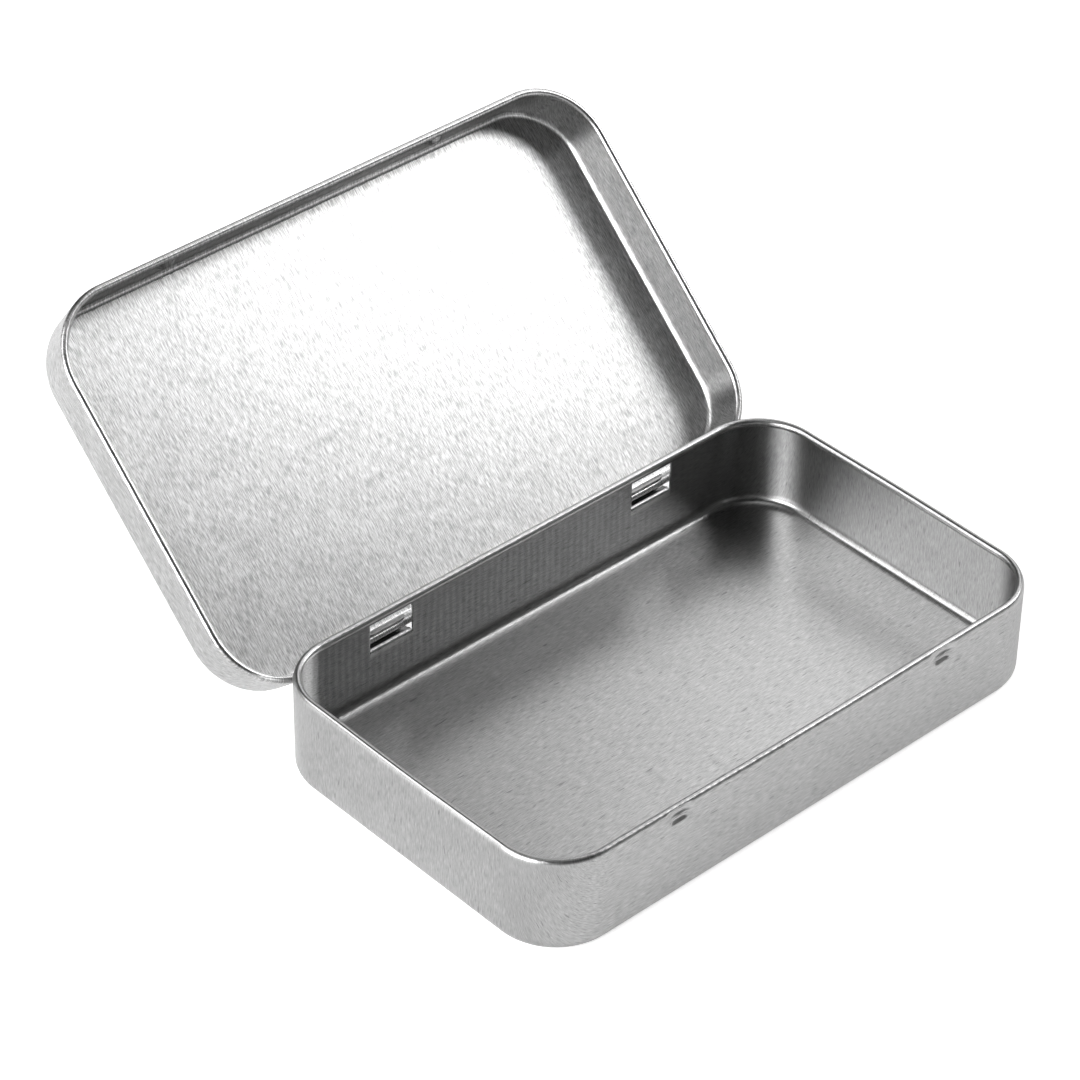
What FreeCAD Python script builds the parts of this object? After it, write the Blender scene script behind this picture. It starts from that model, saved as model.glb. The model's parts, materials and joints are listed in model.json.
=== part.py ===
import FreeCAD, Part
import math
import os
import Sketcher

# Hinged pocket tin, lid leaning open. Origin: middle of the underside, +X along the hinge,
# +Y towards the hinge side, +Z up. Millimetres.

sizes = {
    # base tray
    "baseLength": 91.1,
    "baseWidth": 55.2,
    "baseHeight": 14.9,
    "baseCorner": 9.4,
    "bottomRadius": 1.55,
    "sheet": 0.25,         # thickness of the base's tinplate
    "rimBead": 0.6,        # outer radius of the base's curled rim
    # lid
    "lidSheet": 0.22,
    "sideReach": 1.95,     # lid's outer face beyond the base's end walls
    "frontReach": 1.95,    # the same at the front
    "lidHeight": 8.3,
    "lidCorner": 10.6,
    "lidSlope": 0.1,       # how far the skirt leans in for each millimetre up
    "lidEdge": 1.2,        # outer radius between skirt and panel
    "pinBead": 0.55,       # outer radius of the lid's curled rim, which is the hinge pin
    # hinge
    "pinOffset": 1.0,      # pin axis behind the base's back wall
    "pinHeight": 9.2,
    "hookClearance": 0.17,  # between the pin and the top of the hook's curl
    "hookDrop": 0.15,      # the curl's centre below the pin axis
    "bendRadius": 0.2,
    "hookLip": 0.3,
    "hookRound": 1.1,
    "hingeSpacing": 47.7,
    "windowWidth": 7.5,
    "windowHeight": 4.8,
    "cutGap": 0.1,         # beside each hook, in its window
    "slotSide": 0.3,       # lid slot beyond the hook on each side
    "slotFoot": 0.2,       # slot's lower edge above the pin axis
    "stopGap": 0.05,       # between hook and slot where they stop the open lid
    # latch
    "latchSpacing": 47.8,
    "latchHeight": 12.9,
    "latchLength": 3.4,
    "latchRadius": 0.55,
    "latchClearance": 0.2,
    "latchBite": 0.05,     # how far a lid bump reaches past the base's front face
    "bumpRound": 0.4,
    "nickWidth": 4.2,
    "nickClearance": 0.14,  # between a lid bump on its arc and the hollow in the rim
    # pose
    "openAngle": 136.8,
}

joinLap = 0.5              # how far one stretch of sheet runs into the next

doc = FreeCAD.newDocument("HingedTin")
sheet = doc.addObject("Spreadsheet::Sheet", "dims")
for row, (alias, value) in enumerate(sizes.items(), start=1):
    sheet.set(f"A{row}", alias)
    sheet.set(f"B{row}", str(value))
    sheet.setAlias(f"B{row}", alias)
doc.recompute()


def numberOf(expression):
    """The number that an expression gives now, for where a sketch starts from."""
    return float(sheet.evalExpression(expression))


def bind(thing, prop, expression):
    """Ties a property to the sheet, with its present value set first."""
    thing.setExpression(prop, expression)


def newBody(label):
    body = doc.addObject("PartDesign::Body", label)
    body.Label = label
    return body


def newSketch(body, name, plane, offsets=None):
    """A sketch on one of the body's own planes, moved by expressions for its x, y and z."""
    sketch = body.newObject("Sketcher::SketchObject", name)
    sketch.AttachmentSupport = [(originPart(body, plane), "")]
    sketch.MapMode = "FlatFace"
    for axis, expression in (offsets or {}).items():
        bind(sketch, f"AttachmentOffset.Base.{axis}", expression)
    return sketch


def originPart(body, role):
    return [part for part in body.Origin.OriginFeatures if part.Role == role][0]


def pinPoint(sketch, geometry, position, x, y):
    """Fixes a point of the sketch at two expressions."""
    for kind, expression, axis in (("DistanceX", x, -2), ("DistanceY", y, -1)):
        pinCoordinate(sketch, geometry, position, kind, expression, axis)


def pinCoordinate(sketch, geometry, position, kind, expression, axis):
    if expression == "0":
        sketch.addConstraint(Sketcher.Constraint("PointOnObject", geometry, position, axis))
        return
    value = numberOf(expression)
    index = sketch.addConstraint(Sketcher.Constraint(kind, -1, 1, geometry, position, value))
    bind(sketch, f"Constraints[{index}]", expression)


def drawLoop(sketch, corners):
    """Draws a closed loop. A corner is (x, y) for a line to the next corner, or (x, y, turn, cx, cy)
    for an arc about (cx, cy), with turn 1 anticlockwise and -1 clockwise. All but turn are expressions."""
    spots = [FreeCAD.Vector(numberOf(corner[0]), numberOf(corner[1]), 0) for corner in corners]
    ends = []
    for here, corner in enumerate(corners):
        start = spots[here]
        stop = spots[(here + 1) % len(corners)]
        if len(corner) == 2:
            edge = sketch.addGeometry(Part.LineSegment(start, stop))
            ends.append((edge, 1, 2))
            continue
        turn, cx, cy = corner[2:]
        centre = FreeCAD.Vector(numberOf(cx), numberOf(cy), 0)
        first, last = (start, stop) if turn > 0 else (stop, start)
        angles = [math.atan2(spot.y - centre.y, spot.x - centre.x) for spot in (first, last)]
        if angles[1] <= angles[0]:
            angles[1] += 2 * math.pi
        circle = Part.Circle(centre, FreeCAD.Vector(0, 0, 1), (first - centre).Length)
        edge = sketch.addGeometry(Part.ArcOfCircle(circle, *angles))
        ends.append((edge, 1, 2) if turn > 0 else (edge, 2, 1))
        # the ends are fixed below, so one coordinate of the centre is enough
        if abs(stop.y - start.y) >= abs(stop.x - start.x):
            pinCoordinate(sketch, edge, 3, "DistanceX", cx, -2)
        else:
            pinCoordinate(sketch, edge, 3, "DistanceY", cy, -1)
    for here, corner in enumerate(corners):
        edge, first, last = ends[here]
        following = ends[(here + 1) % len(corners)]
        sketch.addConstraint(Sketcher.Constraint("Coincident", edge, last, following[0], following[1]))
        pinPoint(sketch, edge, first, corner[0], corner[1])


def roundedRectangle(sketch, left, right, front, back, radius):
    """A loop with rounded corners, anticlockwise from the start of the front side."""
    innerLeft, innerRight = f"{left} + {radius}", f"{right} - {radius}"
    innerFront, innerBack = f"{front} + {radius}", f"{back} - {radius}"
    drawLoop(sketch, [
        (innerLeft, front),
        (innerRight, front, 1, innerRight, innerFront),
        (right, innerFront),
        (right, innerBack, 1, innerRight, innerBack),
        (innerRight, back),
        (innerLeft, back, 1, innerLeft, innerBack),
        (left, innerBack),
        (left, innerFront, 1, innerLeft, innerFront),
    ])


def rectangle(sketch, left, right, bottom, top):
    drawLoop(sketch, [(left, bottom), (right, bottom), (right, top), (left, top)])


def sweep(body, name, profile, path):
    pipe = body.newObject("PartDesign::AdditivePipe", name)
    pipe.Profile = profile
    pipe.Spine = (path, [])
    return pipe


def pad(body, name, profile, length, midplane=False, reverse=False):
    feature = body.newObject("PartDesign::Pad", name)
    feature.Profile = profile
    bind(feature, "Length", length)
    feature.Midplane = midplane
    feature.Reversed = reverse
    return feature


def pocket(body, name, profile, length, reverse):
    feature = body.newObject("PartDesign::Pocket", name)
    feature.Profile = profile
    bind(feature, "Length", length)
    feature.Reversed = reverse
    return feature


def turned(body, kind, name, profile, angle):
    """A Revolution or a Groove about the sketch's own horizontal axis."""
    feature = body.newObject(f"PartDesign::{kind}", name)
    feature.Profile = profile
    feature.ReferenceAxis = (profile, ["H_Axis"])
    feature.Angle = angle
    return feature


def mirrored(body, name, originals):
    """Repeats features on the other side of the middle plane."""
    feature = body.newObject("PartDesign::Mirrored", name)
    feature.Originals = originals
    feature.MirrorPlane = (originPart(body, "YZ_Plane"), [""])
    body.Tip = feature
    return feature


def drawCapsule(sketch, length, radius):
    """Half of a round-ended bar that lies along the sketch's horizontal axis."""
    end = f"({length}) / 2"
    drawLoop(sketch, [
        (f"-{end}", "0"),
        (end, "0", 1, f"{end} - {radius}", "0"),
        (f"{end} - {radius}", radius),
        (f"-{end} + {radius}", radius, 1, f"-{end} + {radius}", "0"),
    ])


def drawStadium(sketch, length, height):
    """An upright-ended slot shape round the sketch's origin."""
    end = f"({length}) / 2 - ({height}) / 2"
    half = f"({height}) / 2"
    drawLoop(sketch, [
        (f"-({end})", f"-{half}"),
        (end, f"-{half}", 1, end, "0"),
        (end, half),
        (f"-({end})", half, 1, f"-({end})", "0"),
    ])


def drawDisc(sketch, x, y, radius):
    """A full circle, drawn as two half circles."""
    drawLoop(sketch, [(f"{x} - {radius}", y, 1, x, y), (f"{x} + {radius}", y, 1, x, y)])


def buildBase():
    base = newBody("tin_base")
    halfLength, back = "dims.baseLength / 2", "dims.baseWidth / 2"

    outline = newSketch(base, "baseOutline", "XY_Plane")
    roundedRectangle(outline, f"-{halfLength}", halfLength, f"-{back}", back, "dims.baseCorner")

    # wall section at the back: floor edge, bottom bend, wall, rim curled inwards
    foot, inner = f"{back} - dims.bottomRadius", f"{back} - dims.sheet"
    curl, crown = f"{back} - dims.rimBead", "dims.baseHeight - dims.rimBead"
    wall = newSketch(base, "baseWall", "YZ_Plane")
    drawLoop(wall, [
        (f"{foot} - {joinLap}", "0"),
        (foot, "0", 1, foot, "dims.bottomRadius"),
        (back, "dims.bottomRadius"),
        (back, crown, 1, curl, crown),
        (curl, f"{crown} - dims.rimBead"),
        (curl, f"{crown} - dims.rimBead + dims.sheet", -1, curl, crown),
        (inner, crown),
        (inner, "dims.bottomRadius", -1, foot, "dims.bottomRadius"),
        (foot, "dims.sheet"),
        (f"{foot} - {joinLap}", "dims.sheet"),
    ])
    sweep(base, "baseShell", wall, outline)

    floor = newSketch(base, "baseFloor", "XY_Plane")
    inset = "dims.bottomRadius"
    roundedRectangle(floor, f"-{halfLength} + {inset}", f"{halfLength} - {inset}",
                     f"-{back} + {inset}", f"{back} - {inset}", f"(dims.baseCorner - {inset})")
    pad(base, "baseFloorPlate", floor, "dims.sheet")

    addHooks(base, back, inner)
    addLatchRecesses(base)
    return base


def addHooks(base, back, inner):
    """Two windows in the back wall, each with the sheet cut from it curled loosely round the pin."""
    middle = "dims.hingeSpacing / 2"
    curlY = f"({back} + dims.pinOffset)"
    curlZ = "(dims.pinHeight - dims.hookDrop)"
    bore = "(dims.pinBead + dims.hookClearance + dims.hookDrop)"
    rim = f"({bore} + dims.sheet)"
    # over the sill the sheet turns about a small bend that touches the curl's circle
    bendY = f"({back} + dims.bendRadius)"
    reach = f"({rim} + dims.bendRadius)"
    bendZ = f"({curlZ} - sqrt({reach} ^ 2 - (dims.pinOffset - dims.bendRadius) ^ 2))"
    acrossY = f"({bendY} - {curlY}) / {reach}"
    acrossZ = f"({bendZ} - {curlZ}) / {reach}"
    tip = f"{curlY} - dims.hookLip"

    window = newSketch(base, "hingeWindow", "XZ_Plane")
    rectangle(window, f"{middle} - dims.windowWidth / 2", f"{middle} + dims.windowWidth / 2",
              bendZ, f"{bendZ} + dims.windowHeight")
    windowCut = pocket(base, "hingeWindowCut", window, "dims.baseWidth", reverse=False)
    mirrored(base, "hingeWindows", [windowCut])

    hook = newSketch(base, "hingeHook", "YZ_Plane", {"z": middle})
    drawLoop(hook, [
        (inner, f"{bendZ} - {joinLap}"),
        (back, f"{bendZ} - {joinLap}"),
        (back, bendZ, -1, bendY, bendZ),
        (f"{curlY} + {rim} * {acrossY}", f"{curlZ} + {rim} * {acrossZ}", 1, curlY, curlZ),
        (curlY, f"{curlZ} + {rim}"),
        (tip, f"{curlZ} + {rim}"),
        (tip, f"{curlZ} + {bore}"),
        (curlY, f"{curlZ} + {bore}", -1, curlY, curlZ),
        (f"{curlY} + {bore} * {acrossY}", f"{curlZ} + {bore} * {acrossZ}", 1, bendY, bendZ),
        (inner, bendZ),
    ])
    hookPad = pad(base, "hingeHookPad", hook, "dims.windowWidth - 2 * dims.cutGap", midplane=True)

    corners = newSketch(base, "hookCorners", "XY_Plane", {"x": middle, "y": tip, "z": curlZ})
    half = "(dims.windowWidth / 2 - dims.cutGap)"
    for side, turn in (("", -1), ("-", 1)):
        drawLoop(corners, [
            (f"{side}({half} + dims.cutGap)", "-dims.cutGap"),
            (f"{side}({half} + dims.cutGap)", "dims.hookRound"),
            (f"{side}{half}", "dims.hookRound", turn, f"{side}({half} - dims.hookRound)", "dims.hookRound"),
            (f"{side}({half} - dims.hookRound)", "0"),
            (f"{side}({half} - dims.hookRound)", "-dims.cutGap"),
        ])
    cornerCut = pocket(base, "hookCornerCut", corners, f"2 * {rim}", reverse=True)
    doc.recompute()
    mirrored(base, "hingeHooks", [hookPad, cornerCut])


def addLatchRecesses(base):
    """Two hollows pressed into the front wall, each with a nick in the rim above it."""
    front = "-dims.baseWidth / 2"
    crown = "(dims.baseHeight - dims.rimBead)"
    place = {"x": "dims.latchSpacing / 2", "y": front, "z": "dims.latchHeight"}
    width = "(dims.latchLength + 2 * dims.sheet)"
    # on its arc about the pin a bump reaches further in at the height of the rim than when shut
    shift = f"(({crown} - dims.pinHeight) ^ 2 - (dims.latchHeight - dims.pinHeight) ^ 2)"
    nickDepth = f"(dims.latchBite + {shift} / (2 * (dims.baseWidth + dims.pinOffset)) + dims.nickClearance)"

    # sheet pushed in behind the recess, and the curl pressed shut behind the nick
    bulge = newSketch(base, "latchBack", "XY_Plane", place)
    drawCapsule(bulge, width, "(dims.latchRadius + dims.sheet)")
    behind = turned(base, "Revolution", "latchBulge", bulge, 360)
    block = newSketch(base, "nickBack", "YZ_Plane", {"z": place["x"]})
    rectangle(block, f"{front} + dims.sheet / 2", f"{front} + dims.sheet + {nickDepth}",
              "dims.latchHeight", crown)
    backing = pad(base, "nickBacking", block, "dims.nickWidth", midplane=True)
    crush = newSketch(base, "rimFilling", "YZ_Plane", {"z": place["x"]})
    drawDisc(crush, f"{front} + dims.rimBead", crown, "(dims.rimBead - dims.sheet / 2)")
    filling = pad(base, "rimFillingPad", crush, "dims.nickWidth + 2 * dims.sheet", midplane=True)

    below = {"x": place["x"], "z": "dims.latchHeight - dims.latchLength"}
    outer = newSketch(base, "latchFace", "XY_Plane", below)
    rectangle(outer, f"-{width}", width, f"{front} - dims.latchLength", front)
    trim = pocket(base, "latchTrim", outer, "2 * dims.latchLength", reverse=True)
    hollow = newSketch(base, "latchHollow", "XY_Plane", place)
    drawCapsule(hollow, "dims.latchLength", "dims.latchRadius")
    recess = turned(base, "Groove", "latchRecess", hollow, 360)

    half = "(dims.nickWidth / 2)"
    nickRadius = f"({half} ^ 2 + {nickDepth} ^ 2) / (2 * {nickDepth})"
    nick = newSketch(base, "rimNick", "XY_Plane", place)
    drawLoop(nick, [
        (f"-{half}", "-dims.cutGap"),
        (half, "-dims.cutGap"),
        (half, "0", 1, "0", f"{nickDepth} - {nickRadius}"),
        (f"-{half}", "0"),
    ])
    nickCut = pocket(base, "rimNickCut", nick, "dims.baseHeight", reverse=True)
    doc.recompute()
    mirrored(base, "latchRecesses", [behind, backing, filling, trim, recess, nickCut])


def buildLid():
    """The lid in its own frame: shut, with the origin on the pin axis at mid-length."""
    lid = newBody("tin_lid")
    half = "(dims.baseLength / 2 + dims.sideReach)"
    back = "dims.pinBead"
    front = "-(dims.baseWidth + dims.frontReach + dims.pinOffset)"
    top = "(dims.lidHeight - dims.pinBead)"

    outline = newSketch(lid, "lidOutline", "XY_Plane")
    roundedRectangle(outline, f"-{half}", half, front, back, "dims.lidCorner")

    # skirt section at the back: the rim curled inwards is the hinge pin, the skirt leans in, then the panel
    lean = "sqrt(1 + dims.lidSlope ^ 2)"
    edgeZ = f"({top} - dims.lidEdge)"
    edgeY = f"((dims.pinBead - dims.lidEdge) * {lean} - {edgeZ} * dims.lidSlope)"
    core = "(dims.pinBead - dims.lidSheet)"
    bend = "(dims.lidEdge - dims.lidSheet)"
    skirt = newSketch(lid, "lidSkirt", "YZ_Plane")
    drawLoop(skirt, [
        (f"dims.pinBead / {lean}", f"dims.pinBead * dims.lidSlope / {lean}"),
        (f"{edgeY} + dims.lidEdge / {lean}", f"{edgeZ} + dims.lidEdge * dims.lidSlope / {lean}",
         1, edgeY, edgeZ),
        (edgeY, top),
        (f"{edgeY} - {joinLap}", top),
        (f"{edgeY} - {joinLap}", f"{top} - dims.lidSheet"),
        (edgeY, f"{top} - dims.lidSheet", -1, edgeY, edgeZ),
        (f"{edgeY} + {bend} / {lean}", f"{edgeZ} + {bend} * dims.lidSlope / {lean}"),
        (f"{core} / {lean}", f"{core} * dims.lidSlope / {lean}", -1, "0", "0"),
        ("0", core),
        ("0", "dims.pinBead", 1, "0", "0"),
    ])
    sweep(lid, "lidShell", skirt, outline)

    panel = newSketch(lid, "lidPanel", "XY_Plane", {"z": f"{top} - dims.lidSheet"})
    inset = f"(dims.pinBead - {edgeY})"
    roundedRectangle(panel, f"-{half} + {inset}", f"{half} - {inset}", f"{front} + {inset}",
                     f"{back} - {inset}", f"(dims.lidCorner - {inset})")
    pad(lid, "lidPanelPlate", panel, "dims.lidSheet")

    # the slot's upper edge meets the hook's curl when the lid is fully open: it is where the skirt's
    # inner face crosses the curl's circle, seen from the open lid
    curlY, curlZ = "(dims.hookDrop * sin(dims.openAngle))", "(-dims.hookDrop * cos(dims.openAngle))"
    stop = "(dims.pinBead + dims.hookClearance + dims.hookDrop + dims.sheet + dims.stopGap)"
    aside = f"({core} * {lean} - {curlY})"
    mean = f"({aside} * dims.lidSlope + {curlZ})"
    spread = f"({mean} ^ 2 - (1 + dims.lidSlope ^ 2) * ({aside} ^ 2 + {curlZ} ^ 2 - {stop} ^ 2))"
    slotTop = f"({mean} + sqrt({spread})) / (1 + dims.lidSlope ^ 2)"
    slot = newSketch(lid, "hingeSlot", "XZ_Plane")
    middle = "dims.hingeSpacing / 2"
    reach = "(dims.windowWidth / 2 - dims.cutGap + dims.slotSide)"
    rectangle(slot, f"{middle} - {reach}", f"{middle} + {reach}", "dims.slotFoot", slotTop)
    slotCut = pocket(lid, "hingeSlotCut", slot, "2 * dims.pinBead", reverse=False)
    mirrored(lid, "hingeSlots", [slotCut])
    doc.recompute()

    addLatchBumps(lid, front)
    bind(lid, "Placement.Base.y", "dims.baseWidth / 2 + dims.pinOffset")
    bind(lid, "Placement.Base.z", "dims.pinHeight")
    lid.Placement = FreeCAD.Placement(FreeCAD.Vector(), FreeCAD.Rotation(FreeCAD.Vector(-1, 0, 0), 1))
    bind(lid, "Placement.Rotation.Angle", "dims.openAngle")
    return lid


def addLatchBumps(lid, front):
    """Two hollow bumps pressed through the front skirt, which drop into the base's recesses."""
    rise = "(dims.latchHeight - dims.pinHeight)"
    face = f"({front} + {rise} * dims.lidSlope)"
    tip = "(-dims.baseWidth - dims.pinOffset + dims.latchBite)"
    length, height = "dims.latchLength - 2 * dims.latchClearance", "2 * dims.latchRadius"
    # the front plane looks along -Y, so its offset counts the other way
    place = {"x": "dims.latchSpacing / 2", "y": rise, "z": f"-{face} - dims.lidSheet / 2"}
    boss = newSketch(lid, "bumpOuter", "XZ_Plane", place)
    drawStadium(boss, length, height)
    bump = pad(lid, "bumpBoss", boss, f"{tip} - {face} - dims.lidSheet / 2", reverse=True)
    doc.recompute()

    rounding = lid.newObject("PartDesign::Fillet", "bumpEdge")
    rounding.Base = (bump, bumpTipEdges(bump))
    bind(rounding, "Radius", "dims.bumpRound")
    lid.Tip = rounding

    hollow = newSketch(lid, "bumpInner", "XZ_Plane", {**place, "z": f"-{face} + dims.lidSheet"})
    drawStadium(hollow, f"{length} - 2 * dims.lidSheet", f"{height} - 2 * dims.lidSheet")
    press = pocket(lid, "bumpHollow", hollow, f"{tip} - {face}", reverse=True)
    doc.recompute()
    mirrored(lid, "latchBumps", [bump, rounding, press])


def bumpTipEdges(bump):
    """The edges of the bump's end face, the face of the lid furthest into it at that height."""
    tipY = -sizes["baseWidth"] - sizes["pinOffset"] + sizes["latchBite"]
    return [f"Edge{index}" for index, edge in enumerate(bump.Shape.Edges, start=1)
            if abs(edge.CenterOfMass.y - tipY) < 0.01 and edge.BoundBox.YLength < 0.01]


bodies = [buildBase(), buildLid()]
doc.recompute()

faults = [f"{thing.Name}: {', '.join(thing.State)}" for thing in doc.Objects
          if "Invalid" in thing.State or "Error" in thing.State]
for body in bodies:
    if not body.Shape.isValid() or len(body.Shape.Solids) != 1:
        faults.append(f"{body.Label}: not one valid solid")
if faults:
    raise RuntimeError("; ".join(faults))

os.makedirs("parts", exist_ok=True)
for body in bodies:
    body.Shape.exportStep(f"parts/{body.Label}.step")
    print(body.Label, round(body.Shape.Volume, 1), "mm3")
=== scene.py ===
import bmesh
import bpy
import json
import math
from mathutils import Matrix, Vector


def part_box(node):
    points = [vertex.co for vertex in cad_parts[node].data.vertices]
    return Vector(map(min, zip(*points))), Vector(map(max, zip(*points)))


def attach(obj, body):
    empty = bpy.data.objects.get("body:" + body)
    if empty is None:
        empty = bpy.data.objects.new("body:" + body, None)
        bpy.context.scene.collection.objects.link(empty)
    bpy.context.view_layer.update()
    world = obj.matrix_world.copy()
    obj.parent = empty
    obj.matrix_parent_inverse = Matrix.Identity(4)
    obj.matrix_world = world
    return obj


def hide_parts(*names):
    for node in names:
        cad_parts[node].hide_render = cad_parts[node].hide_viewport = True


# hinged pocket tin in bare brushed tinplate: tray, two hinge tabs and lid
# sizes in the dictionaries are in millimetres, the scene is in metres

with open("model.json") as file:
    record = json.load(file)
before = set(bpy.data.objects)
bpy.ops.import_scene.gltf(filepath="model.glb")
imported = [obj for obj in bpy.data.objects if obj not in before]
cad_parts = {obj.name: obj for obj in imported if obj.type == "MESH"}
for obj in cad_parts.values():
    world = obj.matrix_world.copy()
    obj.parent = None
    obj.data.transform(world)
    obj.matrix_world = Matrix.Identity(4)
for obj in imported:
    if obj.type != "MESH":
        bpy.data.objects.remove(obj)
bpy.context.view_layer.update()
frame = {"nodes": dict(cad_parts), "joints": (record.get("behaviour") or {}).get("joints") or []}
mm = 0.001
panelLoops = (1.2, 0.3)    # two loops just inside the bend, so that the flat panel shades flat
wallBand = 2.5             # what lies nearer than this to the outline counts as wall
blankUnit = 100            # millimetres of blank to one unit of its map
weldDistance = 1e-7        # metres
cornerSteps = 64

hinge = frame["joints"][0]
pin = Vector(hinge["pos_m"]) / mm
openAngle = math.radians(hinge["range_deg"][1])
turnOpen = Matrix.Rotation(-openAngle, 4, "X")
turnShut = Matrix.Rotation(openAngle, 4, "X")

trayLow, trayHigh = (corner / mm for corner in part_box("tin_base"))
shutPoints = [turnShut @ (v.co / mm - pin) for v in frame["nodes"]["tin_lid"].data.vertices]


def ellipse(centre, wide, high, start, stop, steps):
    # points of an arc in the section plane, angles in degrees from outward, upwards positive
    turns = (math.radians(start + (stop - start) * i / steps) for i in range(steps + 1))
    return [(centre[0] + wide * math.cos(a), centre[1] + high * math.sin(a)) for a in turns]


def arc(centre, radius, start, stop, steps):
    return ellipse(centre, radius, radius, start, stop, steps)


def spread(low, high, steps):
    # even steps between two values, without the two themselves
    return [low + (high - low) * i / steps for i in range(1, steps)]


# the shell: one section of sheet, swept round a rounded rectangle
def buildSweepTree():
    tree = bpy.data.node_groups.new("sweptShell", "GeometryNodeTree")
    tree.interface.new_socket("Section", in_out="INPUT", socket_type="NodeSocketGeometry")
    for name, kind in (("Length", "NodeSocketFloat"), ("Width", "NodeSocketFloat"),
                       ("Corner", "NodeSocketFloat"), ("Step", "NodeSocketFloat"),
                       ("Corner Steps", "NodeSocketInt"), ("Finish", "NodeSocketMaterial")):
        tree.interface.new_socket(name, in_out="INPUT", socket_type=kind)
    tree.interface.new_socket("Shell", in_out="OUTPUT", socket_type="NodeSocketGeometry")
    add, link = tree.nodes.new, tree.links.new
    given = add("NodeGroupInput")
    outline = add("GeometryNodeCurvePrimitiveQuadrilateral")
    fillet = add("GeometryNodeFilletCurve")
    fillet.mode = "POLY"
    upright = add("GeometryNodeSetCurveNormal")
    upright.mode = "Z_UP"
    resample = add("GeometryNodeResampleCurve")
    resample.mode = "LENGTH"
    section = add("GeometryNodeMeshToCurve")
    sweep = add("GeometryNodeCurveToMesh")
    real = add("GeometryNodeRealizeInstances")
    finish = add("GeometryNodeSetMaterial")
    out = add("NodeGroupOutput")
    link(given.outputs["Length"], outline.inputs["Width"])
    link(given.outputs["Width"], outline.inputs["Height"])
    link(outline.outputs[0], fillet.inputs["Curve"])
    link(given.outputs["Corner"], fillet.inputs["Radius"])
    link(given.outputs["Corner Steps"], fillet.inputs["Count"])
    link(fillet.outputs[0], resample.inputs["Curve"])
    link(given.outputs["Step"], resample.inputs["Length"])
    link(resample.outputs[0], upright.inputs["Curve"])
    link(upright.outputs[0], sweep.inputs["Curve"])
    link(given.outputs["Section"], section.inputs["Mesh"])
    link(section.outputs[0], sweep.inputs["Profile Curve"])
    link(sweep.outputs[0], real.inputs[0])
    link(real.outputs[0], finish.inputs["Geometry"])
    link(given.outputs["Finish"], finish.inputs["Material"])
    link(finish.outputs[0], out.inputs[0])
    return tree


def sweepShell(name, tree, section, length, width, corner, step, finish):
    # section: pairs of distance out from the outline and height; flat panels close both of its ends
    line = bpy.data.meshes.new(name + "Section")
    line.from_pydata([(out * mm, -up * mm, 0) for out, up in section],
                     [(i, i + 1) for i in range(len(section) - 1)], [])
    carrier = bpy.data.objects.new(name + "Carrier", line)
    bpy.context.scene.collection.objects.link(carrier)
    sweep = carrier.modifiers.new("sweep", "NODES")
    sweep.node_group = tree
    keys = {item.name: item.identifier for item in tree.interface.items_tree if item.in_out == "INPUT"}
    settings = {"Length": length * mm, "Width": width * mm, "Corner": corner * mm, "Step": step * mm,
                "Corner Steps": cornerSteps, "Finish": finish}
    for label, value in settings.items():
        sweep[keys[label]] = value
    seen = carrier.evaluated_get(bpy.context.evaluated_depsgraph_get())
    mesh = bpy.data.meshes.new_from_object(seen)
    mesh.name = name
    piece = bpy.data.objects.new(name, mesh)
    bpy.context.scene.collection.objects.link(piece)
    bpy.data.objects.remove(carrier)
    bpy.data.meshes.remove(line)
    work = bmesh.new()
    work.from_mesh(mesh)
    bmesh.ops.remove_doubles(work, verts=work.verts, dist=weldDistance)
    rims = [e for e in work.edges if e.is_boundary]
    bmesh.ops.edgeloop_fill(work, edges=rims)
    bmesh.ops.recalc_face_normals(work, faces=work.faces)
    for face in work.faces:
        face.smooth = True
    work.to_mesh(mesh)
    work.free()
    return piece


def outwardNormal(x, y, halfX, halfY, corner):
    # level direction that points out of a rounded rectangle at a place on or near its wall
    dx, dy = abs(x) - (halfX - corner), abs(y) - (halfY - corner)
    if dx > 0 and dy > 0:
        size = math.hypot(dx, dy)
        return math.copysign(dx / size, x), math.copysign(dy / size, y)
    if halfX - abs(x) < halfY - abs(y):
        return math.copysign(1, x), 0.0
    return 0.0, math.copysign(1, y)


def pressMesh(piece, press):
    # moves every point by what press(place in mm) returns, in mm
    for v in piece.data.vertices:
        v.co += Vector(press(v.co / mm)) * mm
    piece.data.update()


def smooth(low, high, value):
    # 0 at low, 1 at high, with a soft start and end
    t = min(max((value - low) / (high - low), 0), 1)
    return t * t * (3 - 2 * t)


def insetFrom(x, y, halfX, halfY, corner):
    # how far inside a rounded rectangle a place lies
    dx, dy = abs(x) - (halfX - corner), abs(y) - (halfY - corner)
    if dx > 0 and dy > 0:
        return corner - math.hypot(dx, dy)
    return min(halfX - abs(x), halfY - abs(y))


# painted shade on the inner walls, darkest on one side, standing in for the dark reflections there
paintedShadeBand = {
    "inside": (0.1, 0.2),      # depth from the outer face at which the inner face starts
    "panel": (1.3, 2.4),       # depth at which the panel takes over
    "footFade": 0.3,
    "rimFade": 0.4,
    "otherSides": 0.4,         # share of the painted shade on the other walls
    "turn": 0.4,               # how far a corner has turned towards the darkest side where more painted shade sets in
}


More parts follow.
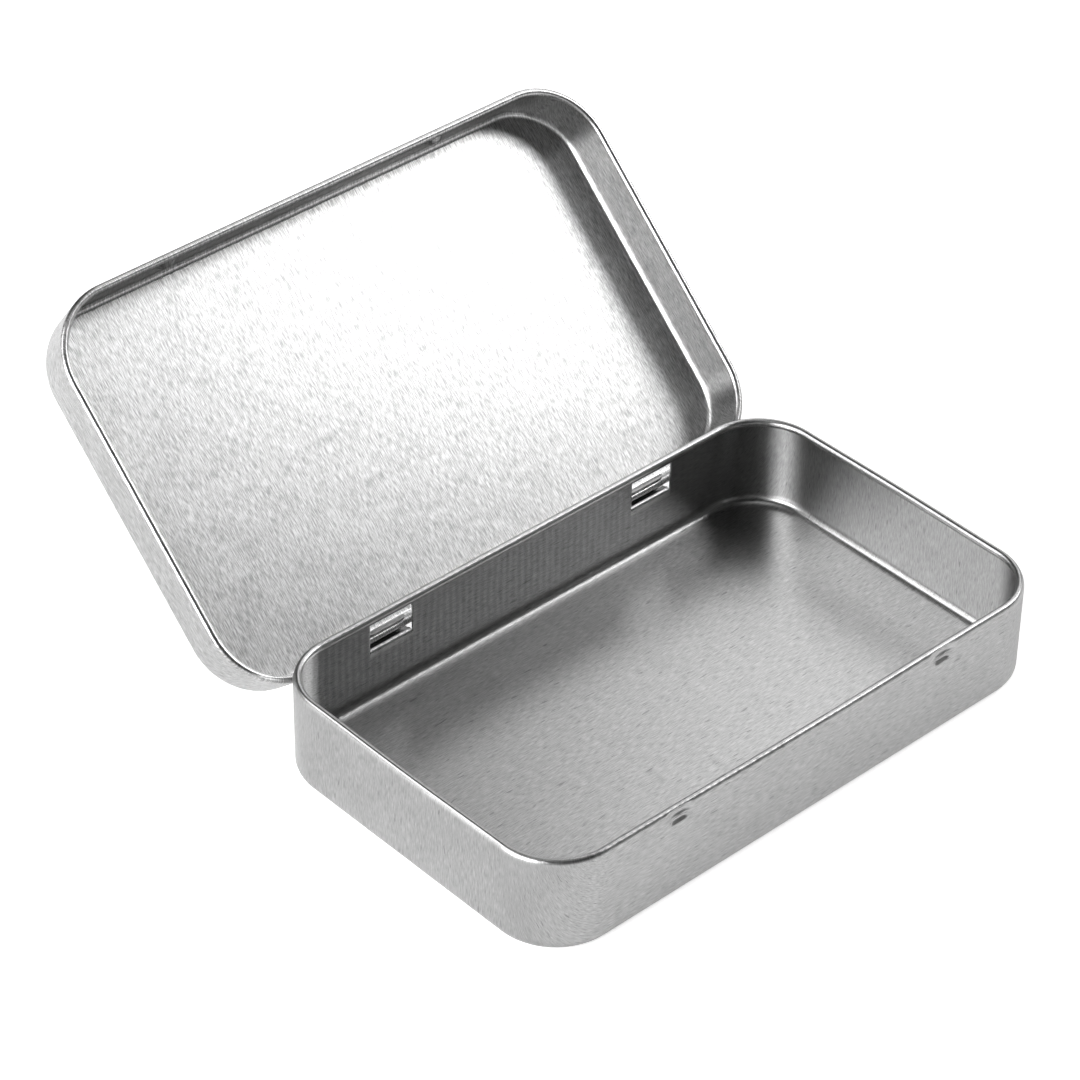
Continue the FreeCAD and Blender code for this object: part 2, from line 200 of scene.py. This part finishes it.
def grainMap(piece, halfX, halfY, corner, level, lean, wallLow, wallHigh, shadeSide):
    # the flat blank unfolded: walls continue outwards from the panel, so that the grain runs on over the bend
    # shadeSide: 1 if the back wall gets the most painted shade, -1 for the front wall
    band = paintedShadeBand
    layer = piece.data.uv_layers.new(name="blank")
    grainAndShade = piece.data.attributes.new("paintedWallShade", "FLOAT", "POINT")
    spots = {}
    for v in piece.data.vertices:
        x, y, z = v.co / mm
        nx, ny = outwardNormal(x, y, halfX, halfY, corner)
        rise = abs(z - level)
        inside = min(halfX - abs(x), halfY - abs(y))
        reach = rise * smooth(2 * wallBand, wallBand, inside)
        spots[v.index] = ((x + nx * reach) / blankUnit, (y + ny * reach) / blankUnit)
        # painted shade: the inner walls between foot and rim are darkened, strongest on one side, in place of
        # their dark reflections
        deep = insetFrom(x, y, halfX, halfY, corner) - lean * z
        inner = smooth(*band["inside"], deep) * (1 - smooth(*band["panel"], deep))
        inner *= smooth(wallLow - band["footFade"], wallLow, z)
        inner *= 1 - smooth(wallHigh, wallHigh + band["rimFade"], z)
        others = band["otherSides"]
        grainAndShade.data[v.index].value = inner * (others + (1 - others) * smooth(band["turn"], 1, ny * shadeSide))
    for loop in piece.data.loops:
        layer.data[loop.index].uv = spots[loop.vertex_index]


crease = {"shell": 0.6, "tabs": 0.7}       # edges sharper than this, in radians, shade sharp


def markCreases(work, angle):
    for edge in work.edges:
        if len(edge.link_faces) == 2:
            edge.smooth = edge.calc_face_angle(0) < angle


def cutBoxes(piece, boxes):
    # boxes: (low corner, high corner) in mm, taken out one by one
    for low, high in boxes:
        mesh = bpy.data.meshes.new("cutter")
        work = bmesh.new()
        bmesh.ops.create_cube(work, size=1)
        middle, size = (Vector(low) + Vector(high)) / 2, Vector(high) - Vector(low)
        bmesh.ops.transform(work, verts=work.verts,
                            matrix=Matrix.Translation(middle * mm) @ Matrix.Diagonal((*(size * mm), 1)))
        work.to_mesh(mesh)
        work.free()
        cutter = bpy.data.objects.new("cutter", mesh)
        bpy.context.scene.collection.objects.link(cutter)
        cut = piece.modifiers.new("cut", "BOOLEAN")
        cut.operation = "DIFFERENCE"
        cut.solver = "EXACT"
        cut.object = cutter
        bakeModifiers(piece)
        bpy.data.objects.remove(cutter)


def bakeModifiers(piece):
    old = piece.data
    seen = piece.evaluated_get(bpy.context.evaluated_depsgraph_get())
    piece.data = bpy.data.meshes.new_from_object(seen)
    piece.modifiers.clear()
    name = old.name
    bpy.data.meshes.remove(old)
    piece.data.name = name


tray = {
    "length": 2 * trayHigh.x,
    "width": -2 * trayLow.y,
    "height": trayHigh.z,
    "corner": 9.4,
    "foot": 1.55,          # radius of the bottom edge
    "sheet": 0.25,
    "bead": 0.6,           # radius of the curled rim
    "shoulder": 0.95,      # height of its outer shoulder
    "bow": 0.22,           # how far the front wall swells at mid-length
    "endBow": 0.7,         # share of that on the end walls
    "bowRise": 6,          # height at which the walls have swelled in full
    "closeRows": 12.1,     # height above which the rows are closer, for the latch hollows
    "step": 0.34,          # spacing of the sections round the tray
    "shadeFrom": 0.6,       # heights between which the inside of the wall has painted shade
    "shadeTo": 13.5,
}
latch = {
    "spacing": 47.8,
    "height": 12.9,
    "length": 3.3,
    "radius": 0.66,
    "depth": 0.44,
    "flare": 1.15,         # how far a hollow's edge runs out, in radii
    "nickLength": 4.4,
    "nickDepth": 0.42,
    "nickRise": (0.4, 1.0),    # above the hollow's middle, where a nick starts and where it is full
    "nickShy": 0.1,            # how far it ends under the top of the rim
}


def traySection():
    t = tray
    foot, sheet, bead, crown = t["foot"], t["sheet"], t["bead"], t["height"] - t["bead"]
    low = t["height"] - t["shoulder"]
    start, stop, close = foot + 0.3, low - 0.1, t["closeRows"]     # rows just off the bends keep them crisp
    heights = [start] + spread(start, close, 6) + spread(close, stop, 14) + [stop]
    section = [(-foot - reach, 0) for reach in panelLoops]
    section += arc((-foot, foot), foot, -90, 0, 9)
    section += [(0, z) for z in heights]
    section += ellipse((-bead, low), bead, t["shoulder"], 0, 90, 12)
    section += arc((-bead, crown), bead, 90, 270, 14)[1:]
    section += arc((-bead, crown), bead - sheet, 270, 90, 7)
    section += ellipse((-bead, low), bead - sheet, t["shoulder"] - sheet, 90, 0, 5)[1:]
    section += [(-sheet, z) for z in reversed(heights)]
    section += arc((-foot, foot), foot - sheet, 0, -90, 8)
    section += [(-foot - reach, sheet) for reach in reversed(panelLoops)]
    return section


def pressTray(place):
    # swelled walls, latch hollows and the nicks above them
    x, y, z = place
    t, l = tray, latch
    halfX, halfY = t["length"] / 2, t["width"] / 2
    crownZ = t["height"] - t["bead"]
    nx, ny = outwardNormal(x, y, halfX, halfY, t["corner"])
    alongX, alongY = x / (halfX - t["corner"]), y / (halfY - t["corner"])
    inset = min(halfX - abs(x), halfY - abs(y))
    if inset > wallBand:
        return 0, 0, 0
    swell = 0
    if abs(ny) == 1 and y < 0:
        swell = t["bow"] * (1 - alongX ** 2) ** 2
    if abs(nx) == 1:
        swell = t["bow"] * t["endBow"] * (1 - alongY ** 2) ** 2
    swell *= smooth(0, t["bowRise"], z)
    if y < 0 and ny == -1:
        dx = abs(x) - l["spacing"] / 2
        past = max(abs(dx) - (l["length"] / 2 - l["radius"]), 0)
        away = math.hypot(past, z - l["height"]) / l["radius"]
        swell -= l["depth"] * (1 - smooth(0, l["flare"], away))
        outer = min(max(1 - inset / t["bead"], 0), 1)
        crescent = max(1 - (2 * dx / l["nickLength"]) ** 2, 0)
        start, full = (l["height"] + rise for rise in l["nickRise"])
        upright = smooth(start, full, z) * (1 - smooth(crownZ, t["height"] - l["nickShy"], z))
        swell -= l["nickDepth"] * crescent * outer * upright
    return nx * swell, ny * swell, 0


tabs = {
    "spacing": 47.7,
    "windowWidth": 7.5,
    "windowHeight": 4.8,
    "windowReach": 2,      # how far the cutter stands out on both sides of the wall
    "gap": 0.1,            # between a tab and the side of its window
    "bend": 0.2,           # inner radius of the bend at the sill
    "drop": 0.15,          # how far the curl's middle lies under the pin
    "bore": 0.87,          # inner radius of the curl
    "lip": 0.3,            # straight end of the curl
    "round": 1.15,         # corners of the free end
    "columns": 24,
}


def tabCurl():
    # line of the sheet's middle from the window's sill over the bend, round the pin, to the free end
    back, thick = tray["width"] / 2, tray["sheet"]
    centre = Vector((pin.y, pin.z - tabs["drop"]))
    reach = tabs["bore"] + thick + tabs["bend"]
    bendY = back + tabs["bend"]
    bend = Vector((bendY, centre.y - math.sqrt(reach ** 2 - (centre.x - bendY) ** 2)))
    touch = math.degrees(math.atan2(centre.y - bend.y, centre.x - bend.x))
    line = arc(bend, tabs["bend"] + thick / 2, 180, touch, 10)
    line += arc(centre, tabs["bore"] + thick / 2, touch - 180, 90, 36)[1:]
    tip = Vector(line[-1])
    line += [(tip.x - tabs["lip"] * i / 3, tip.y) for i in (1, 2, 3)]
    return [Vector(p) for p in line], bend.y


def buildTabs(finish):
    line, sill = tabCurl()
    lengths = [0]
    for here, there in zip(line, line[1:]):
        lengths.append(lengths[-1] + (there - here).length)
    total, half = lengths[-1], tabs["windowWidth"] / 2 - tabs["gap"]
    columns = tabs["columns"]
    mesh = bpy.data.meshes.new("hingeTabs")
    work = bmesh.new()
    for side in (-1, 1):
        faces = []
        for offset in (0.5, -0.5):
            rows = []
            for i, spot in enumerate(line):
                ahead = line[min(i + 1, len(line) - 1)] - line[max(i - 1, 0)]
                normal = Vector((-ahead.y, ahead.x)).normalized() * tray["sheet"] * offset
                left = max(tabs["round"] - (total - lengths[i]), 0)
                wide = half - tabs["round"] + math.sqrt(tabs["round"] ** 2 - left ** 2)
                row = []
                for c in range(columns + 1):
                    x = side * tabs["spacing"] / 2 + wide * (2 * c / columns - 1)
                    row.append(work.verts.new(Vector((x, spot.x + normal.x, spot.y + normal.y)) * mm))
                rows.append(row)
            faces.append(rows)
        top, under = faces
        for rows in faces:
            for a, b in zip(rows, rows[1:]):
                for c in range(columns):
                    work.faces.new((a[c], a[c + 1], b[c + 1], b[c]))
        for a, b in zip(zip(top, under), zip(top[1:], under[1:])):
            for c in (0, columns):
                work.faces.new((a[0][c], b[0][c], b[1][c], a[1][c]))
        for upper, lower in ((top[0], under[0]), (top[-1], under[-1])):
            for c in range(columns):
                work.faces.new((upper[c], upper[c + 1], lower[c + 1], lower[c]))
    bmesh.ops.recalc_face_normals(work, faces=work.faces)
    for face in work.faces:
        face.smooth = True
    markCreases(work, crease["tabs"])
    work.to_mesh(mesh)
    work.free()
    piece = bpy.data.objects.new("hingeTabs", mesh)
    bpy.context.scene.collection.objects.link(piece)
    mesh.materials.append(finish)
    layer = mesh.uv_layers.new(name="blank")
    for loop in mesh.loops:
        x, y, z = mesh.vertices[loop.vertex_index].co / mm
        layer.data[loop.index].uv = (x / blankUnit, (y + z) / blankUnit)
    return piece, sill


cover = {
    "length": 2 * max(p.x for p in shutPoints),
    "front": min(p.y for p in shutPoints),
    "back": max(p.y for p in shutPoints),
    "top": max(p.z for p in shutPoints),
    "corner": 10.6,
    "lean": 0.1,           # how far the skirt leans in for each unit of height
    "edge": 1.2,           # radius of the bend between skirt and panel
    "sheet": 0.22,
    "bead": 0.55,          # radius of the curled rim, which is also the hinge pin
    "wallRows": 24,
    "step": 0.38,          # spacing of the sections round the lid
    "slotFoot": 0.2,       # heights over the pin between which the slots are open
    "slotTop": 1.27,
    "slotSide": 0.3,       # clearance beside a tab
    "slotIn": 0.9,         # reach of the slot's cutter, inwards and outwards
    "slotOut": 1,
    "bumpDepth": 0.8,
    "bumpLength": 3.4,
    "bumpRadius": 1.0,
    "bumpFlare": 1.1,      # how far a bump's edge runs out, in radii
    "shadeFrom": 0.7,       # the inside of the skirt has painted shade from here
    "shadeBelowTop": 1,     # to this far under the panel
}


def coverSection():
    c = cover
    bead, sheet, edge, top = c["bead"], c["sheet"], c["edge"], c["top"]
    tilt = math.degrees(math.atan(c["lean"]))
    slant = math.sqrt(1 + c["lean"] ** 2)
    edgeZ = top - edge
    edgeY = (bead - edge) * slant - edgeZ * c["lean"]
    corner = (edgeY - bead, edgeZ)
    curl = (-bead, 0)
    outer = arc(corner, edge, 90, tilt, 9)
    low = arc(curl, bead, tilt, -270, 24)
    inner = arc(corner, edge - sheet, tilt, 90, 9)
    foot = arc(curl, bead - sheet, -270, tilt, 10)
    near, far = 0.02, 0.98         # shares of the skirt's height, just off the bends
    rows = [near] + spread(near, far, c["wallRows"]) + [far]
    section = [(corner[0] - reach, top) for reach in panelLoops] + outer
    section += [tuple(Vector(outer[-1]).lerp(low[0], f)) for f in rows]
    section += low + foot
    section += [tuple(Vector(foot[-1]).lerp(inner[0], f)) for f in rows]
    section += inner + [(corner[0] - reach, top - sheet) for reach in reversed(panelLoops)]
    return section


def pressCover(place):
    # the latch bumps on the front skirt, pressed inwards
    x, y, z = place
    c = cover
    depth = (c["back"] - c["front"]) / 2
    if y > -depth + wallBand:
        return 0, 0, 0
    past = max(abs(abs(x) - latch["spacing"] / 2) - (c["bumpLength"] / 2 - c["bumpRadius"]), 0)
    away = math.hypot(past, z - (latch["height"] - pin.z)) / c["bumpRadius"]
    return 0, c["bumpDepth"] * (1 - smooth(0, c["bumpFlare"], away)), 0


def windowBoxes(spacing, width, low, high, near, far):
    # one box for each of a pair of openings
    half = width / 2
    middles = [side * spacing / 2 for side in (-1, 1)]
    return [((x - half, near, low), (x + half, far, high)) for x in middles]


# tinplate: fine rolled grain along the blank, soft mottling, and short dark flecks
grainInputs = ("Turn", "Streak Length", "Streak Width", "Mottle", "Contrast", "Fleck Cover")
grainShares = {"fine": 0.75, "broad": 0.15, "cloud": 0.1}
fleckPeak = (0.7, 0.74)        # noise values between which a fleck sets in
cloudRange = (0.3, 0.7)        # noise values that the mottling mostly stays between


def buildGrainGroup():
    group = bpy.data.node_groups.new("rolledGrain", "ShaderNodeTree")
    for name in grainInputs:
        group.interface.new_socket(name, in_out="INPUT", socket_type="NodeSocketFloat")
    for name in ("Tone", "Relief", "Cloud"):
        group.interface.new_socket(name, in_out="OUTPUT", socket_type="NodeSocketFloat")
    add, link = group.nodes.new, group.links.new
    given, out = add("NodeGroupInput"), add("NodeGroupOutput")

    def math2(operation, first, second, third=None):
        node = add("ShaderNodeMath")
        node.operation = operation
        for socket, value in zip(node.inputs, (first, second, third)):
            if isinstance(value, (int, float)):
                socket.default_value = value
            elif value is not None:
                link(value, socket)
        return node.outputs[0]

    def noise(vector, scale, detail, roughness=0.6):
        node = add("ShaderNodeTexNoise")
        node.inputs["Detail"].default_value = detail
        node.inputs["Roughness"].default_value = roughness
        if isinstance(scale, (int, float)):
            node.inputs["Scale"].default_value = scale
        else:
            link(scale, node.inputs["Scale"])
        link(vector, node.inputs["Vector"])
        return node.outputs["Fac"]

    blank = add("ShaderNodeUVMap")
    blank.uv_map = "blank"
    turn = add("ShaderNodeVectorRotate")
    turn.rotation_type = "Z_AXIS"
    link(blank.outputs[0], turn.inputs["Vector"])
    link(given.outputs["Turn"], turn.inputs["Angle"])
    stretch = add("ShaderNodeCombineXYZ")
    link(given.outputs["Streak Length"], stretch.inputs["X"])
    link(given.outputs["Streak Width"], stretch.inputs["Y"])
    grainAndShade = add("ShaderNodeVectorMath")
    grainAndShade.operation = "MULTIPLY"
    link(turn.outputs[0], grainAndShade.inputs[0])
    link(stretch.outputs[0], grainAndShade.inputs[1])
    fine = noise(grainAndShade.outputs[0], 1.0, 3)
    broad = noise(grainAndShade.outputs[0], 0.3, 2)
    cloud = noise(turn.outputs[0], given.outputs["Mottle"], 4)
    streaks = math2("MULTIPLY_ADD", broad, grainShares["broad"],
                    math2("MULTIPLY", fine, grainShares["fine"]))
    mixed = math2("MULTIPLY_ADD", cloud, grainShares["cloud"], streaks)
    tone = math2("MULTIPLY_ADD", math2("SUBTRACT", mixed, 0.5), given.outputs["Contrast"], 0.5)
    # flecks: short dark marks where a second, coarser streak pattern peaks
    sparse = add("ShaderNodeVectorMath")
    sparse.operation = "MULTIPLY_ADD"
    link(grainAndShade.outputs[0], sparse.inputs[0])
    sparse.inputs[1].default_value = (0.5, 0.3, 1)
    sparse.inputs[2].default_value = (7.3, 2.9, 4.1)
    peaks = noise(sparse.outputs[0], 1.0, 1)
    fleck = add("ShaderNodeMapRange")
    fleck.inputs["From Min"].default_value = fleckPeak[0]
    fleck.inputs["From Max"].default_value = fleckPeak[1]
    link(peaks, fleck.inputs["Value"])
    marks = math2("MULTIPLY", fleck.outputs[0], given.outputs["Fleck Cover"])
    link(math2("SUBTRACT", tone, marks), out.inputs["Tone"])
    link(mixed, out.inputs["Relief"])
    link(cloud, out.inputs["Cloud"])
    return group


def tinplate(look, group):
    material = bpy.data.materials.new(look["name"])
    material.use_nodes = True
    add, link = material.node_tree.nodes.new, material.node_tree.links.new
    shader = material.node_tree.nodes["Principled BSDF"]
    shader.inputs["Metallic"].default_value = 1
    shader.inputs["Anisotropic"].default_value = look["stretch"]
    shader.inputs["Anisotropic Rotation"].default_value = look["stretchTurn"]
    along = add("ShaderNodeTangent")
    along.direction_type = "UV_MAP"
    along.uv_map = "blank"
    link(along.outputs[0], shader.inputs["Tangent"])
    grain = add("ShaderNodeGroup")
    grain.node_tree = group
    for label in grainInputs:
        grain.inputs[label].default_value = look[label]
    ramp = add("ShaderNodeMapRange")
    ramp.inputs["To Min"].default_value = look["dark"]
    ramp.inputs["To Max"].default_value = look["light"]
    link(grain.outputs["Tone"], ramp.inputs["Value"])
    # painted shade: the base colour is darkened on the inner walls by the painted wall shade attribute,
    # standing in for their dark reflections
    grainAndShade = add("ShaderNodeAttribute")
    grainAndShade.attribute_name = "paintedWallShade"
    shaded = add("ShaderNodeMath")
    shaded.operation = "MULTIPLY_ADD"
    shaded.inputs[1].default_value = -look["wallShadeDepth"]
    shaded.inputs[2].default_value = 1
    link(grainAndShade.outputs["Fac"], shaded.inputs[0])
    tone = add("ShaderNodeMath")
    tone.operation = "MULTIPLY"
    link(ramp.outputs[0], tone.inputs[0])
    link(shaded.outputs[0], tone.inputs[1])
    colour = add("ShaderNodeCombineColor")
    for channel in ("Red", "Green", "Blue"):
        link(tone.outputs[0], colour.inputs[channel])
    link(colour.outputs[0], shader.inputs["Base Color"])
    dull = add("ShaderNodeMapRange")
    dull.inputs["From Min"].default_value = cloudRange[0]
    dull.inputs["From Max"].default_value = cloudRange[1]
    dull.inputs["To Min"].default_value = look["rough"] - look["roughDrift"]
    dull.inputs["To Max"].default_value = look["rough"] + look["roughDrift"]
    link(grain.outputs["Cloud"], dull.inputs["Value"])
    link(dull.outputs[0], shader.inputs["Roughness"])
    bump = add("ShaderNodeBump")
    bump.inputs["Distance"].default_value = look["relief"] * mm
    link(grain.outputs["Relief"], bump.inputs["Height"])
    link(bump.outputs[0], shader.inputs["Normal"])
    if look["ripple"]:
        # faint upright ripples that the press left in the drawn walls
        place = add("ShaderNodeTexCoord")
        wave = add("ShaderNodeTexWave")
        wave.bands_direction = "X"
        wave.inputs["Scale"].default_value = look["ripplePitch"]
        wave.inputs["Distortion"].default_value = 2.5
        wave.inputs["Detail"].default_value = 2
        wave.inputs["Detail Scale"].default_value = 0.6
        link(place.outputs["Object"], wave.inputs["Vector"])
        upright = add("ShaderNodeSeparateXYZ")
        link(place.outputs["Object"], upright.inputs[0])
        onWall = add("ShaderNodeMapRange")
        onWall.inputs["From Min"].default_value = look["rippleRise"][0] * mm
        onWall.inputs["From Max"].default_value = look["rippleRise"][1] * mm
        onWall.inputs["To Min"].default_value = look["rippleLow"]
        link(upright.outputs["Z"], onWall.inputs["Value"])
        height = add("ShaderNodeMath")
        height.operation = "MULTIPLY"
        link(wave.outputs["Fac"], height.inputs[0])
        link(onWall.outputs[0], height.inputs[1])
        swell = add("ShaderNodeBump")
        swell.inputs["Distance"].default_value = look["ripple"] * mm
        link(height.outputs[0], swell.inputs["Height"])
        link(swell.outputs[0], bump.inputs["Normal"])
    return material


grain = buildGrainGroup()
trayLook = {
    "name": "trayTinplate",
    "dark": 0.27,              # the metal's tone in the valleys and on the ridges of the grain
    "light": 0.6,
    "rough": 0.294,
    "roughDrift": 0.012,       # how much the mottling changes it, up and down
    "stretch": 0.4,            # how much longer highlights are across the grain
    "stretchTurn": 0.25,
    "relief": 0.018,           # depth of the grain
    "ripple": 0.005,           # depth of the press's ripples
    "ripplePitch": 275,
    "rippleRise": (1.5, 4),    # heights between which they grow to full depth
    "rippleLow": 0.12,         # their share below that
    # how much the painted shade darkens the inner walls
    "wallShadeDepth": 0.4,
    "Turn": 0,
    "Streak Length": 75,
    "Streak Width": 780,
    "Mottle": 18,
    "Contrast": 2.6,
    "Fleck Cover": 0.5,
}
coverLook = dict(trayLook, name="coverTinplate", stretchTurn=0.0, ripple=0, Turn=math.pi / 2,
                 dark=0.34, light=0.7, relief=0.014, stretch=0.25, Contrast=6.5)
trayFinish = tinplate(trayLook, grain)
coverFinish = tinplate(coverLook, grain)
sweepTree = buildSweepTree()

print("tray")
trayShell = sweepShell("trayShell", sweepTree, traySection(), tray["length"], tray["width"], tray["corner"],
                       tray["step"], trayFinish)
grainMap(trayShell, tray["length"] / 2, tray["width"] / 2, tray["corner"], 0, 0, tray["shadeFrom"],
         tray["shadeTo"], 1)
pressMesh(trayShell, pressTray)

print("hinge tabs")
hingeTabs, sill = buildTabs(trayFinish)
back = tray["width"] / 2
cutBoxes(trayShell, windowBoxes(tabs["spacing"], tabs["windowWidth"], sill, sill + tabs["windowHeight"],
                                back - tabs["windowReach"], back + tabs["windowReach"]))

print("lid")
coverDepth = cover["back"] - cover["front"]
coverShell = sweepShell("coverShell", sweepTree, coverSection(), cover["length"], coverDepth, cover["corner"],
                        cover["step"], coverFinish)
grainMap(coverShell, cover["length"] / 2, coverDepth / 2, cover["corner"], cover["top"],
         cover["lean"], cover["shadeFrom"], cover["top"] - cover["shadeBelowTop"], -1)
pressMesh(coverShell, pressCover)
slotWidth = tabs["windowWidth"] - 2 * tabs["gap"] + 2 * cover["slotSide"]
cutBoxes(coverShell, windowBoxes(tabs["spacing"], slotWidth, cover["slotFoot"], cover["slotTop"],
                                 coverDepth / 2 - cover["slotIn"], coverDepth / 2 + cover["slotOut"]))
middle = Vector((0, (cover["front"] + cover["back"]) / 2, 0))
coverShell.data.transform(Matrix.Translation(pin * mm) @ turnOpen @ Matrix.Translation(middle * mm))

for piece in (trayShell, coverShell):
    work = bmesh.new()
    work.from_mesh(piece.data)
    markCreases(work, crease["shell"])
    work.to_mesh(piece.data)
    work.free()

for piece, body, node in ((trayShell, "base", "tin_base"), (hingeTabs, "base", "tin_base"),
                          (coverShell, "lid", "tin_lid")):
    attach(piece, body)
    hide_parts(node)

# studio: pale table, soft boxes, and dark air with a paler horizon; lengths here are in metres
studio = {
    "middle": (0, 0.015, 0.015),       # what the soft boxes face
    "floorSize": 6.0,
    "floorTone": 0.82,
    "floorGlow": 0.31,                 # added where the metal mirrors the floor
    "shadeAt": (-0.062, -0.046, 0),    # the glow fades round this spot, off the near corner
    "shadeReach": 0.045,
    "shadeDepth": 0.6,
    "floorLift": 0.62,                 # added where the camera sees the floor
    "airTone": 0.022,
    "horizonTone": 0.3,
    "horizonFade": (0.2, 0.42),        # sines of the heights between which the horizon turns dark
}
# tilt from overhead to the front and swing to the right, in degrees, then distance, width, height and watts
lamps = {
    "keyBox": (26, 49.5, 1.2, 0.76, 0.42, 6.4),
    "topBox": (-8, 37, 1.2, 0.5, 0.5, 1.6),
    "overheadBox": (0, -8, 1.3, 0.6, 0.7, 1.1),
    "leftBox": (-8, -71, 1.3, 0.8, 0.9, 23),
    "backRightBox": (-44, 43, 1.2, 0.6, 0.7, 2.0),
    "backLeftBox": (-40, -35, 1.2, 0.5, 0.5, 3.9),
}


def softBox(name, tilt, swing, distance, wide, high, power):
    lamp = bpy.data.lights.new(name, "AREA")
    lamp.shape = "RECTANGLE"
    lamp.size, lamp.size_y = wide, high
    lamp.energy = power
    thing = bpy.data.objects.new(name, lamp)
    turn = Matrix.Rotation(math.radians(tilt), 4, "X") @ Matrix.Rotation(math.radians(swing), 4, "Y")
    thing.matrix_world = Matrix.Translation(studio["middle"]) @ turn @ Matrix.Translation((0, 0, distance))
    thing.visible_camera = False
    bpy.context.scene.collection.objects.link(thing)


print("studio")
floorMesh = bpy.data.meshes.new("floor")
half = studio["floorSize"] / 2
floorMesh.from_pydata([(-half, -half, 0), (half, -half, 0), (half, half, 0), (-half, half, 0)], [],
                      [(0, 1, 2, 3)])
floor = bpy.data.objects.new("floor", floorMesh)
bpy.context.scene.collection.objects.link(floor)
floorPaint = bpy.data.materials.new("floorPaint")
floorPaint.use_nodes = True
nodes, links = floorPaint.node_tree.nodes, floorPaint.node_tree.links
paint = nodes["Principled BSDF"]
tone = studio["floorTone"]
paint.inputs["Base Color"].default_value = (tone, tone, tone, 1)
paint.inputs["Roughness"].default_value = 0.9
paint.inputs["Specular IOR Level"].default_value = 0.1
paint.inputs["Emission Color"].default_value = (1, 1, 1, 1)
seen = nodes.new("ShaderNodeLightPath")
direct = nodes.new("ShaderNodeMath")
direct.operation = "MULTIPLY"
direct.inputs[1].default_value = studio["floorLift"]
links.new(seen.outputs["Is Camera Ray"], direct.inputs[0])
spot = nodes.new("ShaderNodeTexCoord")
away = nodes.new("ShaderNodeVectorMath")
away.operation = "DISTANCE"
away.inputs[1].default_value = studio["shadeAt"]
links.new(spot.outputs["Object"], away.inputs[0])
fade = nodes.new("ShaderNodeMapRange")
fade.interpolation_type = "SMOOTHSTEP"
fade.inputs["From Max"].default_value = studio["shadeReach"]
fade.inputs["To Min"].default_value = studio["floorGlow"] * (1 - studio["shadeDepth"])
fade.inputs["To Max"].default_value = studio["floorGlow"]
links.new(away.outputs["Value"], fade.inputs["Value"])
mirrored = nodes.new("ShaderNodeMath")
mirrored.operation = "MULTIPLY_ADD"
links.new(seen.outputs["Is Glossy Ray"], mirrored.inputs[0])
links.new(fade.outputs["Result"], mirrored.inputs[1])
links.new(direct.outputs[0], mirrored.inputs[2])
links.new(mirrored.outputs[0], paint.inputs["Emission Strength"])
floorMesh.materials.append(floorPaint)

for name, setup in lamps.items():
    softBox(name, *setup)

world = bpy.data.worlds.new("studioAir")
bpy.context.scene.world = world
world.use_nodes = True
air = world.node_tree.nodes["Background"]
air.inputs["Color"].default_value = (1, 1, 1, 1)
airNodes, airLinks = world.node_tree.nodes, world.node_tree.links
heading = airNodes.new("ShaderNodeTexCoord")
rise = airNodes.new("ShaderNodeSeparateXYZ")
airLinks.new(heading.outputs["Generated"], rise.inputs[0])
band = airNodes.new("ShaderNodeMapRange")
band.interpolation_type = "SMOOTHSTEP"
band.inputs["From Min"].default_value = studio["horizonFade"][0]
band.inputs["From Max"].default_value = studio["horizonFade"][1]
band.inputs["To Min"].default_value = studio["horizonTone"]
band.inputs["To Max"].default_value = studio["airTone"]
airLinks.new(rise.outputs["Z"], band.inputs["Value"])
airLinks.new(band.outputs["Result"], air.inputs["Strength"])

lens = {
    "aim": (-0.00231, 0.02182, 0.0175),
    "distance": 0.551,
    "azimuth": -43.036,        # degrees from the front, to the right
    "elevation": 37.248,
    "roll": 0.939,
    "focal": 137.28,
    "sensor": 36,
}
cameraData = bpy.data.cameras.new("camera")
cameraData.sensor_width = lens["sensor"]
cameraData.lens = lens["focal"]
camera = bpy.data.objects.new("camera", cameraData)
bpy.context.scene.collection.objects.link(camera)
azimuth, elevation, roll = (math.radians(lens[key]) for key in ("azimuth", "elevation", "roll"))
level = math.cos(elevation)
behind = Vector((math.sin(azimuth) * level, -math.cos(azimuth) * level, math.sin(elevation)))
side = (-behind).cross(Vector((0, 0, 1))).normalized()
upward = side.cross(-behind)
right = side * math.cos(roll) + upward * math.sin(roll)
up = upward * math.cos(roll) - side * math.sin(roll)
place = Vector(lens["aim"]) + behind * lens["distance"]
camera.matrix_world = Matrix(((right.x, up.x, behind.x, place.x), (right.y, up.y, behind.y, place.y),
                              (right.z, up.z, behind.z, place.z), (0, 0, 0, 1)))
bpy.context.scene.camera = camera
bpy.context.scene.view_settings.view_transform = "Standard"
